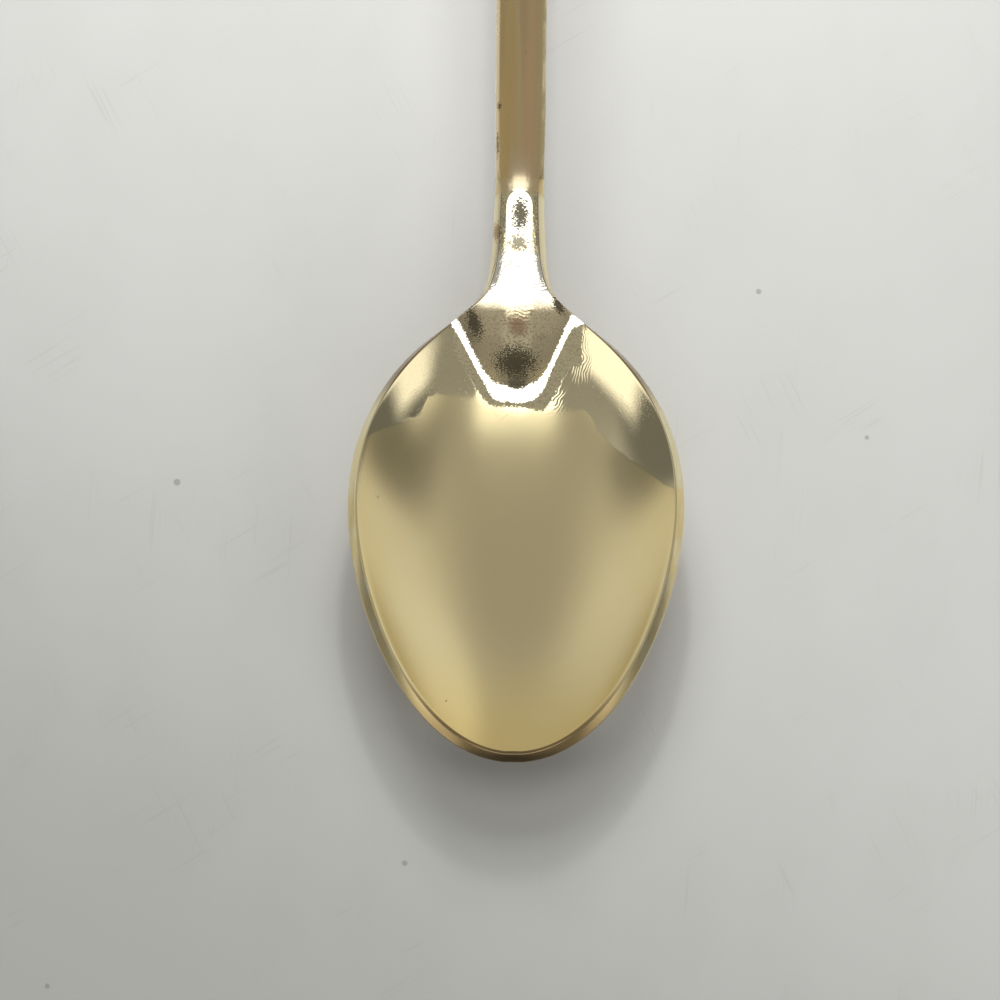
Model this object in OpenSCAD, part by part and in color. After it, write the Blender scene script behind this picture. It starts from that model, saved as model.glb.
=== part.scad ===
// Teaspoon stamped from one blank of metal. An egg-shaped bowl runs through sharp
// shoulders into a narrow neck, the neck's tongue slopes down into the hollow, and a
// slim stem arches over to a flat rounded end. The spoon lies on its back: the tip
// points along -Y, the handle along +Y, and the hollow faces +Z.

/* [Bowl] */
// Width over the metal at the widest place
bowl_width = 31; // [28:0.5:34]
// Length of the hollow from its tip to where the shoulders would close
hollow_length = 43.2; // [41:0.2:46]
// Depth of the hollow below the rim
bowl_depth = 6.6; // [5.6:0.2:7.6]
// Thickness of the bowl's metal
bowl_wall = 1.3; // [1:0.05:1.5]
// Power that sets how late and how sharply the shoulders turn in
shoulder_power = 3.9; // [3.4:0.1:4.6]
// Extra fullness of the tip, as a share of the half width
tip_full_share = 0.27; // [0.2:0.01:0.34]
// Power that sets how fast that fullness fades away from the tip
tip_fade_power = 2.3; // [1.8:0.1:3]
// Power that sets how steeply the hollow drops behind the tip
tip_drop_power = 5; // [4:0.1:6]
// Power that sets how the hollow's floor climbs towards the neck
floor_climb_power = 2.5; // [2:0.1:3]
// How much more upright than a parabola the sides stand, as a share
side_swell_share = 0.1; // [0:0.02:0.3]
// Outward lean of the rim's cut face at the tip, as a share of the wall's own slope
rim_lean_share = 1.45; // [1:0.05:1.7]
// Radius on both corners of the rim
rim_round = 0.25; // [0.15:0.01:0.35]

/* [Neck] */
// Narrowest width of the neck
neck_width = 4.3; // [3.9:0.1:5]
// Thickness of the neck, the thickest place of the spoon
neck_thickness = 2.6; // [2.3:0.1:3]
// Length of the neck from the shoulders to the bend
neck_length = 6.6; // [5.6:0.1:8]
// Extra half width with which the neck opens into the shoulders
flare_width = 2.1; // [1.6:0.1:2.6]
// Distance over which that flare dies away
flare_length = 3.1; // [2.6:0.1:3.8]
// Width of the tongue between the shoulders
tongue_width = 11.6; // [10.4:0.1:12.8]
// Length by which the tongue's front reaches past the shoulders into the hollow
tongue_reach = 7.1; // [6:0.1:7.8]
// Power of the tongue's front line: 2 is a parabola, less is more pointed
tongue_power = 1.6; // [1.3:0.05:2]
// Half width over which the tongue's back and front are rounded
tongue_round = 1.8; // [1:0.1:2.6]
// Size of the bevel along both edges of the neck
neck_bevel = 0.6; // [0.35:0.05:0.7]
// How flat that bevel is: 0 is fully rounded, 1 is a flat face
bevel_share = 0.85; // [0:0.05:1]
// Height of the ridge at the bend between the neck and the stem
bend_rise = 1.2; // [0.8:0.05:1.4]
// Softness of that ridge
bend_round = 0.8; // [0.5:0.1:1.6]

/* [Handle] */
// Length of the slim stem, from the bend to where it starts to widen
stem_length = 42; // [34:0.2:50]
// Length over which the handle widens into its rounded end
end_length = 45; // [37:0.5:52]
// Height of the handle's arch above the rim of the bowl
arch_rise = 7.6; // [6:0.2:9]
// Width of the stem
stem_width = 4.5; // [4.1:0.1:5.4]
// Thickness of the stem
stem_thickness = 2.2; // [1.9:0.1:2.6]
// Width of the rounded end
end_width = 16; // [12:0.5:19]
// Thickness of the rounded end
end_thickness = 1.8; // [1.5:0.05:2.1]
// Height by which the top of the handle is rounded across its width
crown = 0.35; // [0.2:0.05:0.5]
// Radius on the long edges of the stem and the end
handle_round = 0.4; // [0.25:0.05:0.55]

/* [Fineness] */
// Rings along the bowl
bowl_rings = 64; // [40:1:72]
// Rings along the rounded end
end_rings = 30; // [20:1:36]
// Points across the hollow
cross_steps = 18; // [12:2:22]

/* [Hidden] */

// Where the zones begin, measured along the spoon from the hollow's tip
tip_start = 0.03;
neck_start_share = 1.05;
neck_start = hollow_length * neck_start_share;
bend_at = neck_start + neck_length;
bend_reach = 7;
shoulder_share = 0.915;
shoulder_at = hollow_length * shoulder_share;
root_share = 1.03;
root_at = hollow_length * root_share;
blend_share = 0.07;
shoulder_blend = hollow_length * blend_share;
swell_reach = 4;
tongue_gain_share = 0.78;
crease_share = 0.16;
merge_share = 0.5;
nudge = 0.01;
sample_step = 0.25;
corner_steps = 3;
neck_rings = 12;
stem_rings = 22;
neck_steps = 10;
stem_steps = 6;
under_steps = 2;
tip_crowd_share = 0.5;

// Control heights of the side view: shares of the arch's rise above the rim, then of
// the arch's full height above the rounded end
rise_shares = [-0.16, -0.15, -0.125, -0.08, -0.02, 0.15, 0.72, 0.84, 0.93, 1, 0.98];
fall_shares = [0.9, 0.72, 0.44, 0.1, -0.07, -0.07, -0.07];
height_steps = 14;

function clamped(v) = min(max(v, 0), 1);

function eased(from, to, v) = let (t = clamped((v - from) / (to - from))) t * t * (3 - 2 * t);

function soft_max(a, b, blend) = max(a, b) + pow(max(blend - abs(a - b), 0) / blend, 3) * blend / 6;

function soft_min(a, b, blend) = -soft_max(-a, -b, blend);

function spline(heights, p) =
    let (i = floor(p), t = p - i, u = 1 - t)
    (pow(u, 3) * heights[i]
        + (3 * pow(t, 3) - 6 * t * t + 4) * heights[i + 1]
        + (3 * pow(u, 3) - 6 * u * u + 4) * heights[i + 2]
        + pow(t, 3) * heights[i + 3]) / 6;

widen_start = bend_at + stem_length;
handle_length = widen_start + end_length;
cap_share = 0.54;
cap_length = end_width * cap_share;

// Thickness along the spoon, straight down through the metal of the handle
function thickness(s) =
    bowl_wall
    + (neck_thickness - bowl_wall) * eased(shoulder_at - tongue_reach, neck_start, s)
    + (stem_thickness - neck_thickness) * eased(bend_at, bend_at + end_length, s)
    + (end_thickness - stem_thickness) * eased(widen_start, handle_length, s);

// The hollow's depth: zero at the tip, deepest before the middle, zero at its root
function dip(u) = (1 - pow(1 - u, tip_drop_power)) * (1 - pow(u, floor_climb_power));

dip_peak = max([for (i = [0:100]) dip(i / 100)]);

function depth(s) = bowl_depth * dip(clamped(s / root_at)) / dip_peak;

// The rim line: an egg closed at the tip, joined to the handle's own half width
function egg(u) =
    sqrt(u) * (1 - pow(u, shoulder_power)) * (1 + tip_full_share * pow(max(1 - u, 0), tip_fade_power));

egg_peak = max([for (i = [0:100]) egg(i / 100)]);

// How much the sides stand up, fading out towards the tip
function swell(s) = side_swell_share * s / (s + swell_reach);

// The cut face leans out most at the tip and stands upright from the shoulders on
function lean(s) = rim_lean_share * (1 - pow(clamped(s / shoulder_at), 2));

widest_share = max([for (i = [0:100]) egg(i / 100) < egg_peak ? 0 : i / 100]);
widest_at = hollow_length * widest_share;
side_drop = 2 * (1 + swell(widest_at)) * depth(widest_at);
side_lean = atan(lean(widest_at) * side_drop / (bowl_width / 2 - bowl_wall));
side_band = bowl_wall * sin(side_lean)
    - rim_round * sin(side_lean) * cos(side_lean) / (sin(side_lean) + cos(side_lean));
hollow_half = bowl_width / 2 - side_band;

// How far the outer tip reaches past the hollow's tip
tip_lean = atan(lean(0) * tip_drop_power * bowl_depth / (dip_peak * root_at));
tip_band = bowl_wall * sin(tip_lean)
    - rim_round * sin(tip_lean) * cos(tip_lean) / (sin(tip_lean) + cos(tip_lean));
overall_length = handle_length + tip_band;
height_spacing = overall_length / height_steps;

function handle_half(s) =
    let (
        flare = flare_width * exp(-max(s - shoulder_at, 0) / flare_length),
        stem = (stem_width - neck_width) / 2 * eased(bend_at, bend_at + neck_length, s),
        end = (end_width - stem_width) / 2 * eased(widen_start, handle_length - cap_length, s),
        q = clamped((s - handle_length + cap_length) / cap_length),
        started = eased(root_at / 2, shoulder_at, s)
    )
    (neck_width / 2 + flare + stem + end) * sqrt(1 - q * q) * started - shoulder_blend * (1 - started);

function half_width(s) =
    soft_max(hollow_half * egg(max(s, 0) / hollow_length) / egg_peak, handle_half(s), shoulder_blend);

// The side view of the rim and of the handle's top edge
function rise(s) = spline(arch_rise * rise_shares, s / height_spacing);

rim_level = max([for (s = [0:sample_step:shoulder_at]) depth(s) + bowl_wall - rise(s)]);
arch_height = rim_level + arch_rise;
heights = concat(
    [for (r = rise_shares) rim_level + r * arch_rise],
    [for (f = fall_shares) end_thickness + f * (arch_height - end_thickness)]
);

function edge_height(s) =
    spline(heights, s / height_spacing)
    + bend_rise * exp(-norm([s - bend_at, bend_round]) / bend_reach);

// The hollow without its tongue, and its slopes across and along the spoon
function bowl_height(x, s) =
    let (v = x / half_width(s))
    edge_height(s) - depth(s) * (1 - v * v) * (1 + swell(s) * v * v);

function slopes(x, s) = [
    (bowl_height(x + nudge, s) - bowl_height(x - nudge, s)) / (2 * nudge),
    (bowl_height(x, s + nudge) - bowl_height(x, s)) / nudge
];

// The way through the metal: it leans only in the bowl, so each seam stays flat
function normal(x, s) =
    let (g = slopes(x, s), n = [-g[0] * lean(s), -g[1] * lean(s), 1])
    n / norm(n);

// The tongue fills the hollow behind a U-shaped crease and meets the neck's crowned top
function tongue(x, s) =
    let (
        across = pow(norm([x, tongue_round]), tongue_power) - pow(tongue_round, tongue_power),
        inside = 1 - across / pow(tongue_width / 2, tongue_power) - (shoulder_at - s) / tongue_reach,
        ramp = soft_max(0, inside * tongue_gain_share, crease_share)
    )
    soft_min(ramp, 1, merge_share);

function top_height(x, s) =
    let (t = tongue(x, s), v = x / half_width(s))
    bowl_height(x, s) * (1 - t) + (edge_height(s) + crown * (1 - v * v)) * t;

function underside(x, s) =
    let (p = [x, s, bowl_height(x, s)] - thickness(s) * normal(x, s))
    [p[0], p[1], max(p[2], 0)];

// One point on an edge: rounded from a over b to c, or straight where flat is 1
function corner(a, b, c, t, flat) =
    let (middle = b * (1 - flat) + (a + c) / 2 * flat)
    a * (1 - t) * (1 - t) + 2 * middle * t * (1 - t) + c * t * t;

function flatness(s) =
    bevel_share
    * eased(shoulder_at, neck_start, s)
    * (1 - eased(bend_at - bend_round, bend_at + bend_round, s));

// Size of the rounding along the spoon
function edge_round(s) =
    rim_round
    + (neck_bevel - rim_round) * eased(shoulder_at, neck_start, s)
    + (handle_round - neck_bevel) * eased(bend_at - bend_round, bend_at + bend_round, s);

// How far the outline's turn is followed when the edges are rounded: not at the seams
function turn_share(s) =
    1 - eased(shoulder_at - tongue_reach, neck_start, s)
    + eased(widen_start, widen_start + end_length / 2, s);

// One ring: the top from left to right, the right edge, the underside, the left edge
function ring(s, top_count, under_count) =
    let (
        w = half_width(s),
        r = edge_round(s),
        turn = (half_width(s + nudge) - half_width(s - nudge)) / (2 * nudge) * turn_share(s),
        g = slopes(w, s),
        n = normal(w, s),
        inward = [-1, turn, turn * g[1] - g[0]],
        start = [w, s, 0] + r * inward / norm(inward),
        a = [w, s, edge_height(s)],
        b = a - thickness(s) * n,
        low = underside(start[0], start[1]),
        a_top = [start[0], start[1], top_height(start[0], start[1])],
        edge = concat(
            [for (k = [1:corner_steps]) corner(a_top, a, a - r * n, k / corner_steps, flatness(s))],
            [for (k = [0:corner_steps - 1]) corner(b + r * n, b, low, k / corner_steps, 0)]
        ),
        count = len(edge)
    )
    concat(
        [for (k = [0:top_count])
            let (x = start[0] * (2 * k / top_count - 1)) [x, start[1], top_height(x, start[1])]],
        [for (p = edge) [p[0], p[1], max(p[2], 0)]],
        [for (k = [0:under_count]) underside(start[0] * (1 - 2 * k / under_count), start[1])],
        [for (k = [1:count]) let (p = edge[count - k]) [-p[0], p[1], max(p[2], 0)]]
    );

// Closes a ring with strips from its left edge to its right edge
function cap_faces(first, top_count, under_count, front) =
    let (
        edge_count = 2 * corner_steps,
        right = top_count,
        under = right + edge_count + 1,
        last = under + under_count + edge_count,
        strips = concat(
            [for (k = [0:top_count - 1]) [last, k, k + 1]],
            [[last, top_count, top_count + 1]],
            [for (k = [1:edge_count - 1]) [last - k + 1, right + k, right + k + 1]],
            [for (k = [1:edge_count - 1]) [last - k + 1, right + k + 1, last - k]],
            [[last - edge_count + 1, right + edge_count, under]],
            [for (k = [0:under_count - 1]) [last - edge_count + 1, under + k, under + k + 1]]
        )
    )
    [for (f = strips) [for (i = front ? [0, 1, 2] : [2, 1, 0]) first + f[i]]];

module loft(stations, top_count, under_count) {
    rings = [for (s = stations) ring(s, top_count, under_count)];
    around = len(rings[0]);
    shift = [0, tip_band - overall_length / 2, 0];
    points = [for (r = rings) for (p = r) p + shift];
    sides = [
        for (i = [0:len(rings) - 2])
            for (j = [0:around - 1])
                let (
                    a = i * around + j,
                    b = i * around + (j + 1) % around,
                    right = j >= top_count / 2 && j < (top_count + around) / 2
                )
                for (f = right ? [[a, a + around, b + around], [a, b + around, b]]
                    : [[a, a + around, b], [b, a + around, b + around]]) f
    ];
    faces = concat(
        cap_faces(0, top_count, under_count, true),
        sides,
        cap_faces((len(rings) - 1) * around, top_count, under_count, false)
    );
    polyhedron(points = points, faces = faces, convexity = 6);
}

function even(from, to, count) = [for (i = [0:count]) from + (to - from) * i / count];

module bowl() {
    stations = [
        for (i = [0:bowl_rings])
            let (t = i / bowl_rings)
            tip_start + (neck_start - tip_start) * (tip_crowd_share * t * t + (1 - tip_crowd_share) * t)
    ];
    color([0.8, 0.69, 0.47])
        loft(stations, cross_steps, cross_steps);
}

module neck() {
    color([0.9, 0.82, 0.62])
        loft(even(neck_start, bend_at, neck_rings), neck_steps, under_steps);
}

module stem() {
    color([0.78, 0.66, 0.44])
        loft(even(bend_at, widen_start, stem_rings), stem_steps, under_steps);
}

module handle_end() {
    stations = [
        for (i = [0:end_rings])
            let (t = i / end_rings)
            widen_start + (handle_length - tip_start - widen_start) * sin(90 * t)
    ];
    color([0.79, 0.67, 0.45])
        loft(stations, stem_steps, under_steps);
}

bowl();
neck();
stem();
handle_end();
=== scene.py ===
import math

import bpy
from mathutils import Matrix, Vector


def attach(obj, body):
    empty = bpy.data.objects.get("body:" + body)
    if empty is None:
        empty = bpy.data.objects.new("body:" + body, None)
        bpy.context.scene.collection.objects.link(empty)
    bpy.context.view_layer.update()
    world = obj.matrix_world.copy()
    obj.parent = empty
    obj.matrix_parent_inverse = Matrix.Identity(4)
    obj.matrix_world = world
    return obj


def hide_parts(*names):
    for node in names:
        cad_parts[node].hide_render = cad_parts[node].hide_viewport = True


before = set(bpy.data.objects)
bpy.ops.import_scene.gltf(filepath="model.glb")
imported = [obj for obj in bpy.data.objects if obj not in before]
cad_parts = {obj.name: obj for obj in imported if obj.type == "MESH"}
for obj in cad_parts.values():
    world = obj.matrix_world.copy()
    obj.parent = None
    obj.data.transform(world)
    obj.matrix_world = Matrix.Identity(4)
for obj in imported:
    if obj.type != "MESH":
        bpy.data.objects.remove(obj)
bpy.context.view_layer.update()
scene = bpy.context.scene
print("frame loaded:", sorted(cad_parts))

# The photograph looks straight down on the bowl, with the handle leaving at the top.
cameraSetup = {
    "place": (-0.00148, -0.0457, 0.2575),
    "turn": 0.57,           # degrees about the line of sight
    "frameWidth": 0.092,    # what the picture spans at the height of the rim
    "rimHeight": 0.0075,
    "clip": (0.005, 20),
}


def makeCamera(setup):
    data = bpy.data.cameras.new("photoCamera")
    distance = setup["place"][2] - setup["rimHeight"]
    data.angle = 2 * math.atan(setup["frameWidth"] / 2 / distance)
    data.clip_start, data.clip_end = setup["clip"]
    camera = bpy.data.objects.new("photoCamera", data)
    camera.location = setup["place"]
    camera.rotation_euler = (0, 0, math.radians(setup["turn"]))
    scene.collection.objects.link(camera)
    scene.camera = camera


makeCamera(cameraSetup)
print("camera placed")


# A number inside a node tree, so that a formula in a tree reads as a formula.
class Num:
    def __init__(self, tree, socket):
        self.tree = tree
        self.socket = socket

    def __add__(self, other):
        return doMath("ADD", self, other)

    def __radd__(self, other):
        return doMath("ADD", other, self)

    def __sub__(self, other):
        return doMath("SUBTRACT", self, other)

    def __rsub__(self, other):
        return doMath("SUBTRACT", other, self)

    def __mul__(self, other):
        return doMath("MULTIPLY", self, other)

    def __rmul__(self, other):
        return doMath("MULTIPLY", other, self)

    def __truediv__(self, other):
        return doMath("DIVIDE", self, other)

    def __rtruediv__(self, other):
        return doMath("DIVIDE", other, self)

    def __pow__(self, other):
        return doMath("POWER", self, other)


def plug(tree, socket, value):
    if isinstance(value, Num):
        tree.links.new(value.socket, socket)
    elif isinstance(value, bpy.types.NodeSocket):
        tree.links.new(value, socket)
    else:
        socket.default_value = value


def doMath(operation, *values, clamped=False):
    tree = next(value.tree for value in values if isinstance(value, Num))
    node = tree.nodes.new("ShaderNodeMath")
    node.operation = operation
    node.use_clamp = clamped
    for socket, value in zip(node.inputs, values):
        plug(tree, socket, value)
    return Num(tree, node.outputs[0])


def largest(a, b):
    return doMath("MAXIMUM", a, b)


def absolute(a):
    return doMath("ABSOLUTE", a)


def below(a, b):
    return doMath("LESS_THAN", a, b)


def clampedShare(a):
    return doMath("ADD", a, 0, clamped=True)


def length(*parts):
    return doMath("SQRT", sum((part * part for part in parts[1:]), parts[0] * parts[0]))


def eased(start, end, value):
    node = value.tree.nodes.new("ShaderNodeMapRange")
    node.interpolation_type = "SMOOTHSTEP"
    plug(value.tree, node.inputs["Value"], value)
    plug(value.tree, node.inputs["From Min"], start)
    plug(value.tree, node.inputs["From Max"], end)
    return Num(value.tree, node.outputs["Result"])


def pick(condition, whenTrue, whenFalse):
    return whenFalse + (whenTrue - whenFalse) * condition


def joinXyz(tree, x, y, z):
    node = tree.nodes.new("ShaderNodeCombineXYZ")
    for socket, value in zip(node.inputs, (x, y, z)):
        plug(tree, socket, value)
    return node.outputs[0]


def splitXyz(tree, vector):
    node = tree.nodes.new("ShaderNodeSeparateXYZ")
    plug(tree, node.inputs[0], vector)
    return [Num(tree, output) for output in node.outputs]


# Any node tree: nodes are added to it, and other trees are used inside it.
class Tree:
    def __init__(self, tree, groupNode="ShaderNodeGroup"):
        self.tree = tree
        self.groupNode = groupNode

    # Adds a node with its settings and with what goes into its sockets.
    def add(self, kind, plugs=None, **settings):
        node = self.tree.nodes.new(kind)
        for key, value in settings.items():
            setattr(node, key, value)
        for key, value in (plugs or {}).items():
            plug(self.tree, node.inputs[key], value)
        return node

    def use(self, group, **given):
        node = self.add(self.groupNode, node_tree=group)
        for name, value in given.items():
            plug(self.tree, node.inputs[name], value)
        return {output.name: Num(self.tree, output) for output in node.outputs}


# Sockets that don't hold a plain number
socketKinds = {"place": "Vector", "finish": "Material", "mesh": "Geometry", "rings": "Int",
               "topSteps": "Int", "underSteps": "Int", "cornerSteps": "Int"}


# A group, which gets its inputs when they are first asked for.
class Maker(Tree):
    def __init__(self, name, kind):
        groupNode = "GeometryNodeGroup" if kind == "GeometryNodeTree" else "ShaderNodeGroup"
        super().__init__(bpy.data.node_groups.new(name, kind), groupNode)
        self.inlet = self.add("NodeGroupInput")
        self.outlet = self.add("NodeGroupOutput")

    def addSocket(self, name, direction):
        kind = "NodeSocket" + socketKinds.get(name, "Float")
        self.tree.interface.new_socket(name=name, in_out=direction, socket_type=kind)

    def __getitem__(self, name):
        if name not in self.inlet.outputs:
            self.addSocket(name, "INPUT")
        return Num(self.tree, self.inlet.outputs[name])

    # Inputs that aren't given come from this group's own inputs of the same name.
    def use(self, group, **given):
        items = group.interface.items_tree
        names = [item.name for item in items if item.in_out == "INPUT"]
        return super().use(group, **{name: given.get(name) or self[name] for name in names})

    def give(self, **values):
        for name, value in values.items():
            self.addSocket(name, "OUTPUT")
            plug(self.tree, self.outlet.inputs[name], value)
        return self.tree


# All sizes in millimetres and shares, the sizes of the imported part.
spoonSizes = {
    "bowlWidth": 31,
    "hollowLength": 43.2,
    "bowlDepth": 6.6,
    "bowlWall": 1.3,
    "shoulderPower": 3.9,
    "tipFullShare": 0.27,
    "tipFadePower": 2.3,
    "tipDropPower": 5,
    "floorClimbPower": 2.5,
    "sideSwellShare": 0.1,
    "rimLeanShare": 1.45,
    "rimRound": 0.25,
    "neckWidth": 4.3,
    "neckThickness": 2.6,
    "neckLength": 6.6,
    "flareWidth": 2.1,
    "flareLength": 3.1,
    "tongueWidth": 11.6,
    "tongueReach": 7.1,
    "tonguePower": 1.6,
    "tongueRound": 1.8,
    "neckBevel": 0.6,
    "bevelShare": 0.85,
    "bendRise": 1.2,
    "bendRound": 0.8,
    "stemLength": 42,
    "endLength": 45,
    "archRise": 7.6,
    "stemWidth": 4.5,
    "stemThickness": 2.2,
    "endWidth": 16,
    "endThickness": 1.8,
    "crown": 0.35,
    "handleRound": 0.4,
}
sideView = {
    "rise": [-0.16, -0.15, -0.125, -0.08, -0.02, 0.15, 0.72, 0.84, 0.93, 1, 0.98],
    "fall": [0.9, 0.72, 0.44, 0.1, -0.07, -0.07, -0.07],
    "steps": 14,
}
# Stations and lengths that are shares of the hollow's length
hollowShares = {"neckStart": 1.05, "shoulderAt": 0.915, "rootAt": 1.03, "shoulderBlend": 0.07}
capShare = 0.54         # the rounded end's length as a share of its width
tipStart = 0.03         # where the first ring stands, behind the hollow's very tip
swellReach = 4          # behind the tip, where the swell has half its size
bendReach = 7           # how far the bend's ridge runs out
tongueRamp = 0.78
creaseBlend = 0.16
crestBlend = 0.5
stationStep = 0.25
nudge = 0.01            # the step over which slopes are measured
sharpAngle = 1.1        # radians between faces, from which an edge is shown sharp
perMetre = 1000


def eggShare(u, z):
    full = 1 + z["tipFullShare"] * max(1 - u, 0) ** z["tipFadePower"]
    return math.sqrt(u) * (1 - u ** z["shoulderPower"]) * full


def dipShare(u, z):
    return (1 - (1 - u) ** z["tipDropPower"]) * (1 - u ** z["floorClimbPower"])


def softBumpAt(distance):
    return (max(2 - distance, 0) ** 3 - 4 * max(1 - distance, 0) ** 3) / 6


def bandWidth(wall, lean, corner):
    turned = math.sin(lean) * math.cos(lean) / (math.sin(lean) + math.cos(lean))
    return wall * math.sin(lean) - corner * turned


# The places and peaks that follow from the sizes.
def addPlaces(z):
    z.update({name: z["hollowLength"] * share for name, share in hollowShares.items()})
    z["bendAt"] = z["neckStart"] + z["neckLength"]
    z["widenStart"] = z["bendAt"] + z["stemLength"]
    z["handleLength"] = z["widenStart"] + z["endLength"]
    z["capLength"] = z["endWidth"] * capShare
    shares = [i / 100 for i in range(101)]
    z["eggPeak"] = max(eggShare(u, z) for u in shares)
    z["dipPeak"] = max(dipShare(u, z) for u in shares)
    widest = max((eggShare(u, z), u) for u in shares)[1] * z["hollowLength"]
    swell = z["sideSwellShare"] * widest / (widest + swellReach)
    depth = z["bowlDepth"] * dipShare(widest / z["rootAt"], z) / z["dipPeak"]
    lean = z["rimLeanShare"] * (1 - (widest / z["shoulderAt"]) ** 2)
    sideLean = math.atan(lean * 2 * (1 + swell) * depth / (z["bowlWidth"] / 2 - z["bowlWall"]))
    z["hollowHalf"] = z["bowlWidth"] / 2 - bandWidth(z["bowlWall"], sideLean, z["rimRound"])
    tipSlope = z["tipDropPower"] * z["bowlDepth"] / (z["dipPeak"] * z["rootAt"])
    tipLean = math.atan(z["rimLeanShare"] * tipSlope)
    z["tipBand"] = bandWidth(z["bowlWall"], tipLean, z["rimRound"])
    z["overallLength"] = z["handleLength"] + z["tipBand"]
    z["heightSpacing"] = z["overallLength"] / sideView["steps"]

    def rise(s):
        place = s / z["heightSpacing"]
        heights = enumerate(sideView["rise"])
        return z["archRise"] * sum(h * softBumpAt(abs(place - k + 1)) for k, h in heights)

    stations = [i * stationStep for i in range(int(z["shoulderAt"] / stationStep) + 1)]
    z["rimLevel"] = max(
        z["bowlDepth"] * dipShare(s / z["rootAt"], z) / z["dipPeak"] + z["bowlWall"] - rise(s)
        for s in stations
    )
    return z


sizes = addPlaces(dict(spoonSizes))


def bumpTree():
    m = Maker("softBump", "GeometryNodeTree")
    distance = absolute(m["distance"])
    wide = largest(2 - distance, 0) ** 3
    narrow = largest(1 - distance, 0) ** 3
    return m.give(share=(wide - 4 * narrow) / 6)


# The height of the rim and of the handle's top edge, seen from the side.
def sideViewTree(bump):
    m = Maker("sideView", "GeometryNodeTree")
    place = m["along"] / m["heightSpacing"]
    heights = [m["rimLevel"] + m["archRise"] * share for share in sideView["rise"]]
    foot = m["endThickness"]
    archHeight = m["rimLevel"] + m["archRise"]
    heights += [foot + (archHeight - foot) * share for share in sideView["fall"]]
    total = None
    for count, height in enumerate(heights):
        part = height * m.use(bump, distance=place - (count - 1))["share"]
        total = part if total is None else total + part
    fromBend = length(m["along"] - m["bendAt"], m["bendRound"])
    ridge = m["bendRise"] * doMath("EXPONENT", fromBend * (-1 / bendReach))
    return m.give(edgeHeight=total + ridge)


# Half the width: an egg closed at the tip, joined softly to the handle.
def outlineTree():
    m = Maker("outline", "GeometryNodeTree")
    s = m["along"]
    u = largest(s, 0) / m["hollowLength"]
    fullness = 1 + m["tipFullShare"] * largest(1 - u, 0) ** m["tipFadePower"]
    egg = doMath("SQRT", u) * (1 - u ** m["shoulderPower"]) * fullness
    flare = m["flareWidth"] * doMath("EXPONENT", largest(s - m["shoulderAt"], 0) * -1 / m["flareLength"])
    stem = (m["stemWidth"] - m["neckWidth"]) / 2 * eased(m["bendAt"], m["bendAt"] + m["neckLength"], s)
    capStart = m["handleLength"] - m["capLength"]
    end = (m["endWidth"] - m["stemWidth"]) / 2 * eased(m["widenStart"], capStart, s)
    q = clampedShare((s - capStart) / m["capLength"])
    started = eased(m["rootAt"] / 2, m["shoulderAt"], s)
    half = (m["neckWidth"] / 2 + flare + stem + end) * doMath("SQRT", 1 - q * q) * started
    handle = half - m["shoulderBlend"] * (1 - started)
    bowl = m["hollowHalf"] * egg / m["eggPeak"]
    return m.give(halfWidth=doMath("SMOOTH_MAX", bowl, handle, m["shoulderBlend"]))


# The hollow without its tongue: its height, and its slope across the spoon.
def hollowTree(outline, side):
    m = Maker("hollow", "GeometryNodeTree")
    s = m["along"]
    halfWidth = m.use(outline)["halfWidth"]
    edgeHeight = m.use(side)["edgeHeight"]
    u = clampedShare(s / m["rootAt"])
    drop = 1 - (1 - u) ** m["tipDropPower"]
    climb = 1 - u ** m["floorClimbPower"]
    depth = m["bowlDepth"] * drop * climb / m["dipPeak"]
    v = m["across"] / halfWidth
    swell = m["sideSwellShare"] * s / (s + swellReach)
    return m.give(
        height=edgeHeight - depth * (1 - v * v) * (1 + swell * v * v),
        slopeAcross=depth * 2 * v * (1 - swell + 2 * swell * v * v) / halfWidth,
        halfWidth=halfWidth, edgeHeight=edgeHeight,
    )


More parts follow.
